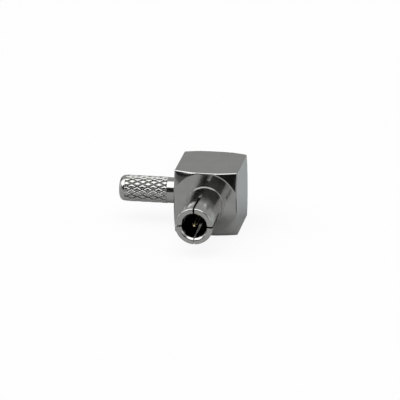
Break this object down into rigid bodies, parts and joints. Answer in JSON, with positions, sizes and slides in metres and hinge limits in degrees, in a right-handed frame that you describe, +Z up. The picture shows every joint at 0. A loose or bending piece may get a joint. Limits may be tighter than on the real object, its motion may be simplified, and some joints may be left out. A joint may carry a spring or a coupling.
{
  "type": "right-angle crimp antenna plug",
  "caption": "Right-angle push-fit crimp plug for a modem antenna lead, with a slotted contact, a gold centre pin and a knurled crimp barrel.",
  "frame": {"origin": "middle of the housing's flat bottom face", "axes": "+Z up from the bottom face, -Y along the outer contact towards its tip, -X along the crimp barrel towards the cable"},
  "size_m": [0.0117, 0.0124, 0.0062],
  "materials": {
    "block_plating": "satin nickel plate on brass",
    "turned_plating": "bright nickel plate on brass",
    "pin_plating": "gold plate",
    "dark_insulator": "dark moulded plastic"
  },
  "bodies": {
    "root": {"housing": "block_plating", "outer_contact": "turned_plating", "insulator": "dark_insulator", "center_pin": "pin_plating", "crimp_barrel": "turned_plating", "rear_cap": "block_plating"}
  },
  "joints": []
}
